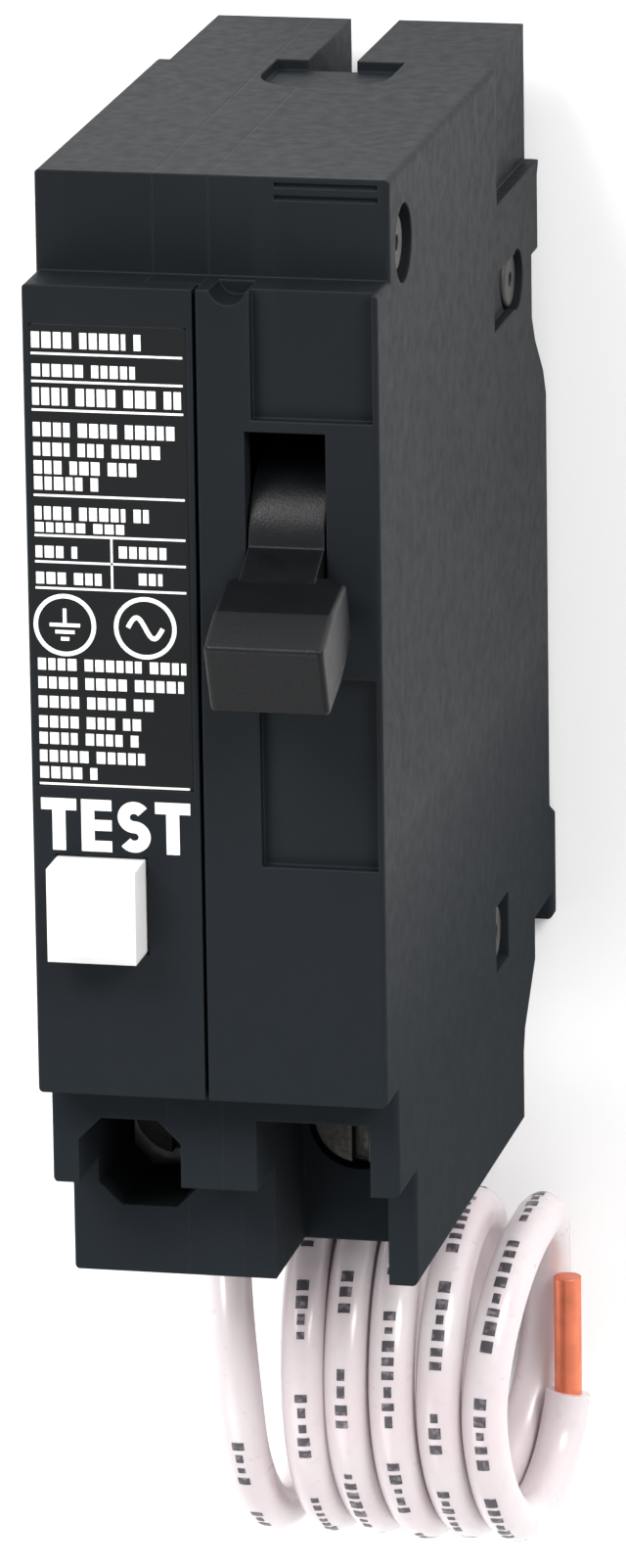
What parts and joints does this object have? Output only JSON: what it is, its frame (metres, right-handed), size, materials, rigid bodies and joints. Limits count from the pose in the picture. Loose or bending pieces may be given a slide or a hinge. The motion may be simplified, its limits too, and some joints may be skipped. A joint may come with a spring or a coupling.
{
  "type": "gfci breaker",
  "caption": "Single-pole plug-on ground-fault circuit breaker with a toggle handle, a test button and a coiled pigtail wire.",
  "frame": {"origin": "under the middle of the case, on the surface that the case lies on, pigtail left out", "axes": "+Z out of the label face, +Y towards the line end with the plug-on jaw, +X from the GFCI module to the breaker module"},
  "size_m": [0.0286, 0.1155, 0.0749],
  "materials": {
    "case_plastic": "matte",
    "handle_plastic": "satin",
    "label_film": "satin printed film",
    "button_plastic": "semi-gloss",
    "copper": "bare copper",
    "contact_silver": "silver alloy",
    "steel": "zinc-plated",
    "terminal_metal": "tin-plated",
    "spring_bronze": "rolled",
    "fibre": "vulcanised fibre",
    "board": "solder mask",
    "component_black": "moulded epoxy",
    "capacitor_sleeve": "shrink sleeve",
    "resistor_body": "lacquer",
    "disc_coating": "epoxy dip",
    "nylon": "natural nylon",
    "core_coating": "epoxy-coated core",
    "lead_insulation": "PVC",
    "white_insulation": "PVC with a nylon jacket",
    "grommet": "moulded rubber"
  },
  "bodies": {
    "case": {"arc_frame": "fibre", "arc_plates": "steel", "armature_pin": "steel", "bimetal": "spring_bronze", "breaker_case": "case_plastic", "calibration_screw": "steel", "capacitors": "capacitor_sleeve", "case_rivets": "steel", "centre_case": "case_plastic", "circuit_board": "board", "coil_bobbin": "nylon", "coil_frame": "steel", "control_chip": "component_black", "fixed_contact": "contact_silver", "ground_core": "core_coating", "handle_pin": "steel", "jaw_spring": "steel", "left_cover": "case_plastic", "line_jaw": "copper", "line_strap": "copper", "load_braid": "copper", "load_lead": "lead_insulation", "load_terminal": "terminal_metal", "magnet_yoke": "steel", "neutral_lead": "white_insulation", "neutral_terminal": "terminal_metal", "pigtail_coil": "white_insulation", "pigtail_end": "copper", "pigtail_gland": "grommet", "pigtail_tube": "white_insulation", "rating_label": "label_film", "resistors": "resistor_body", "sensor_core": "core_coating", "surge_disc": "disc_coating", "test_blade": "spring_bronze", "test_spring": "steel", "toggle_spring": "steel", "trip_coil": "copper", "trip_lever_pin": "steel", "trip_thyristor": "component_black"},
    "handle": {"handle": "handle_plastic", "arm_pin": "steel"},
    "contact_arm": {"contact_arm": "steel", "moving_contact": "contact_silver"},
    "trip_lever": {"trip_lever": "steel"},
    "armature": {"armature": "steel"},
    "trip_plunger": {"trip_plunger": "steel"},
    "test_button": {"test_button": "button_plastic"},
    "load_screw": {"load_screw": "steel"},
    "neutral_screw": {"neutral_screw": "steel"}
  },
  "joints": [
    {"name": "handle_throw", "type": "hinge", "parent": "case", "child": "handle", "pos_m": [0, 0.01525, 0.0579], "axis": [-1, 0, 0], "range_deg": [0, 44], "deforming": ["toggle_spring"]},
    {"name": "contact_arm_swing", "type": "hinge", "parent": "handle", "child": "contact_arm", "pos_m": [0, 0.01787, 0.05141], "axis": [-1, 0, 0], "range_deg": [-75.8, 0]},
    {"name": "trip_plunger_travel", "type": "slide", "parent": "case", "child": "trip_plunger", "axis": [0, -1, 0], "range_m": [0, 0.0018], "stiffness_N_per_m": 120, "springref_m": -0.001},
    {"name": "armature_tilt", "type": "hinge", "parent": "case", "child": "armature", "pos_m": [0, -0.0055, 0.052], "axis": [-1, 0, 0], "range_deg": [0, 6]},
    {"name": "trip_lever_swing", "type": "hinge", "parent": "case", "child": "trip_lever", "pos_m": [0, 0.027, 0.047], "axis": [1, 0, 0], "range_deg": [0, 25], "deforming": ["toggle_spring"]},
    {"name": "test_button_press", "type": "slide", "parent": "case", "child": "test_button", "axis": [0, 0, -1], "range_m": [0, 0.002], "stiffness_N_per_m": 300, "springref_m": -0.002, "deforming": ["test_spring"]},
    {"name": "load_screw_turn", "type": "hinge", "parent": "case", "child": "load_screw", "pos_m": [0.00645, -0.032, 0.04], "axis": [0, 0, 1], "continuous": true},
    {"name": "neutral_screw_turn", "type": "hinge", "parent": "case", "child": "neutral_screw", "pos_m": [-0.007, -0.032, 0.04], "axis": [0, 0, 1], "continuous": true}
  ],
  "couplings": [
    {"joint": "contact_arm_swing", "follows": "handle_throw", "ratio": -1.7226},
    {"joint": "armature_tilt", "follows": "trip_plunger_travel", "rad_per_m": 58.172},
    {"joint": "trip_lever_swing", "follows": "trip_plunger_travel", "rad_per_m": 242.38}
  ]
}
